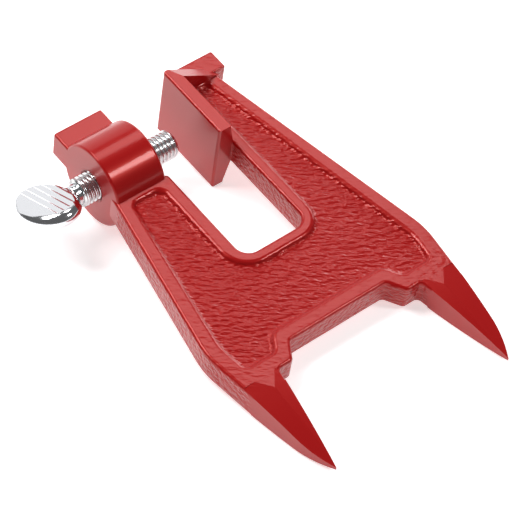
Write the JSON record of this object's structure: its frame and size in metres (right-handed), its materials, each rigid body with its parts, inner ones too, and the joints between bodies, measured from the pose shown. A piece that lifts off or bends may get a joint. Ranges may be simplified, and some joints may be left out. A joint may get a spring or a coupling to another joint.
{
  "type": "stump vise",
  "caption": "Spiked cast clamp for holding a saw's guide bar: a plate with a throat between its legs, a fixed jaw, hammer blocks and a thumb screw with an oval head.",
  "frame": {"origin": "on the screw's axis, in the clamping face of the fixed jaw", "axes": "+X the way the screw advances, +Y from the spikes to the hammer blocks, +Z the normal of the plate"},
  "size_m": [0.1045, 0.1492, 0.0292],
  "materials": {
    "red_paint": "glossy red paint over a rough casting",
    "zinc_thread": "bright zinc-plated thread",
    "polished_chrome": "polished chrome plate on a die casting"
  },
  "bodies": {
    "casting": {"vise_casting": "red_paint"},
    "stud": {"threaded_stud": "zinc_thread"},
    "head": {"thumb_head": "polished_chrome"}
  },
  "joints": [
    {"name": "screw_advance", "type": "slide", "parent": "casting", "child": "stud", "axis": [1, 0, 0], "range_m": [-0.013, 0.00675]},
    {"name": "head_turn", "type": "hinge", "parent": "stud", "child": "head", "pos_m": [0, 0, 0], "axis": [1, 0, 0], "range_deg": [-3120, 1620]}
  ],
  "couplings": [
    {"joint": "head_turn", "follows": "screw_advance", "rad_per_m": 4188.8}
  ]
}
